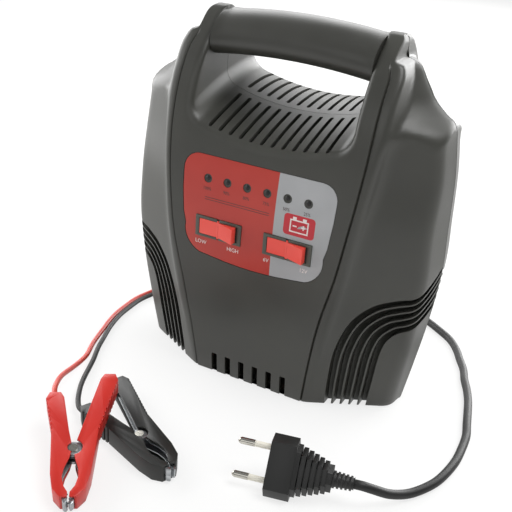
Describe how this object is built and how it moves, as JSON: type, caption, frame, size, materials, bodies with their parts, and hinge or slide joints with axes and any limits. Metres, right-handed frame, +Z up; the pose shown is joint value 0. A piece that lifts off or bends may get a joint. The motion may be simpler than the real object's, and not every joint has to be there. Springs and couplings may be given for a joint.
{
  "type": "battery charger",
  "caption": "Upright mains battery charger with an arched carry handle, rocker switches and charge lights, a mains lead with plug and two output leads with spring clamps.",
  "frame": {"origin": "on the flat base, under the middle of the case", "axes": "+Z up, -Y towards the control panel, +X to the right seen from the front; millimetres in the source, metres here"},
  "size_m": [0.2734, 0.3224, 0.2355],
  "materials": {
    "case": "fine moulded texture",
    "grip": "fine moulded texture",
    "label": "printed film",
    "led_lens": "tinted, unlit",
    "circuit_board": "solder mask",
    "component_cases": "moulded",
    "zinc_screw": "zinc plated",
    "switch_black": "moulded",
    "rocker_red": "moulded",
    "terminal_brass": "plain",
    "lamination_steel": "varnished",
    "nylon": "moulded",
    "enamelled_wire": "enamelled copper",
    "zinc_sheet": "zinc plated",
    "sink_aluminium": "plain",
    "breaker_case": "moulded",
    "flex_black": "soft PVC",
    "wire_red": "PVC insulation",
    "wire_black": "PVC insulation",
    "plug_black": "moulded PVC",
    "nickel": "nickel plated",
    "lead_red": "soft PVC",
    "clamp_red": "moulded",
    "clamp_black": "moulded",
    "spring_steel": "plated wire"
  },
  "bodies": {
    "charger": {"front_shell": "case", "rear_shell": "case", "handle_grip": "grip", "control_label": "label", "indicator_leds": "led_lens", "display_board": "circuit_board", "board_components": "component_cases", "board_screws": "zinc_screw", "current_switch_housing": "switch_black", "voltage_switch_housing": "switch_black", "switch_terminals": "terminal_brass", "case_screws": "zinc_screw", "transformer_core": "lamination_steel", "transformer_bobbin": "nylon", "primary_winding": "enamelled_wire", "secondary_winding": "enamelled_wire", "transformer_bracket": "zinc_sheet", "bracket_screws": "zinc_screw", "heat_sink": "sink_aluminium", "bridge_rectifier": "component_cases", "thermal_breaker": "breaker_case", "sink_screws": "zinc_screw", "mains_gland": "flex_black", "mains_gland_nut": "nylon", "lead_grommet": "flex_black", "supply_wires": "wire_red", "output_wires": "wire_black", "mains_lead": "flex_black", "plug_body": "plug_black", "plug_pins": "nickel", "pin_sleeves": "nylon", "red_lead": "lead_red", "black_lead": "flex_black", "red_fixed_cover": "clamp_red", "red_fixed_jaw": "nickel", "red_clamp_rivet": "zinc_screw", "red_clamp_spring": "spring_steel", "black_fixed_cover": "clamp_black", "black_fixed_jaw": "nickel", "black_clamp_rivet": "zinc_screw", "black_clamp_spring": "spring_steel"},
    "current_rocker": {"current_switch_rocker": "rocker_red"},
    "voltage_rocker": {"voltage_switch_rocker": "rocker_red"},
    "red_moving_arm": {"red_moving_cover": "clamp_red", "red_moving_jaw": "nickel"},
    "black_moving_arm": {"black_moving_cover": "clamp_black", "black_moving_jaw": "nickel"}
  },
  "joints": [
    {"name": "current_rocker_tilt", "type": "hinge", "parent": "charger", "child": "current_rocker", "pos_m": [-0.0235, -0.0518, 0.109], "axis": [0, 0, 1], "range_deg": [0, 20]},
    {"name": "voltage_rocker_tilt", "type": "hinge", "parent": "charger", "child": "voltage_rocker", "pos_m": [0.0235, -0.0518, 0.109], "axis": [0, 0, 1], "range_deg": [0, 20]},
    {"name": "red_clamp_pivot", "type": "hinge", "parent": "charger", "child": "red_moving_arm", "pos_m": [-0.04087, -0.173, 0.01207], "axis": [0.11, -0.1662, 0.9799], "range_deg": [0, 20], "stiffness_Nm_per_rad": 0.8, "springref_deg": -17.19, "deforming": ["red_clamp_spring"]},
    {"name": "black_clamp_pivot", "type": "hinge", "parent": "charger", "child": "black_moving_arm", "pos_m": [-0.02171, -0.13696, 0.0055], "axis": [0, 0, 1], "range_deg": [0, 20], "stiffness_Nm_per_rad": 0.8, "springref_deg": -17.19, "deforming": ["black_clamp_spring"]}
  ]
}
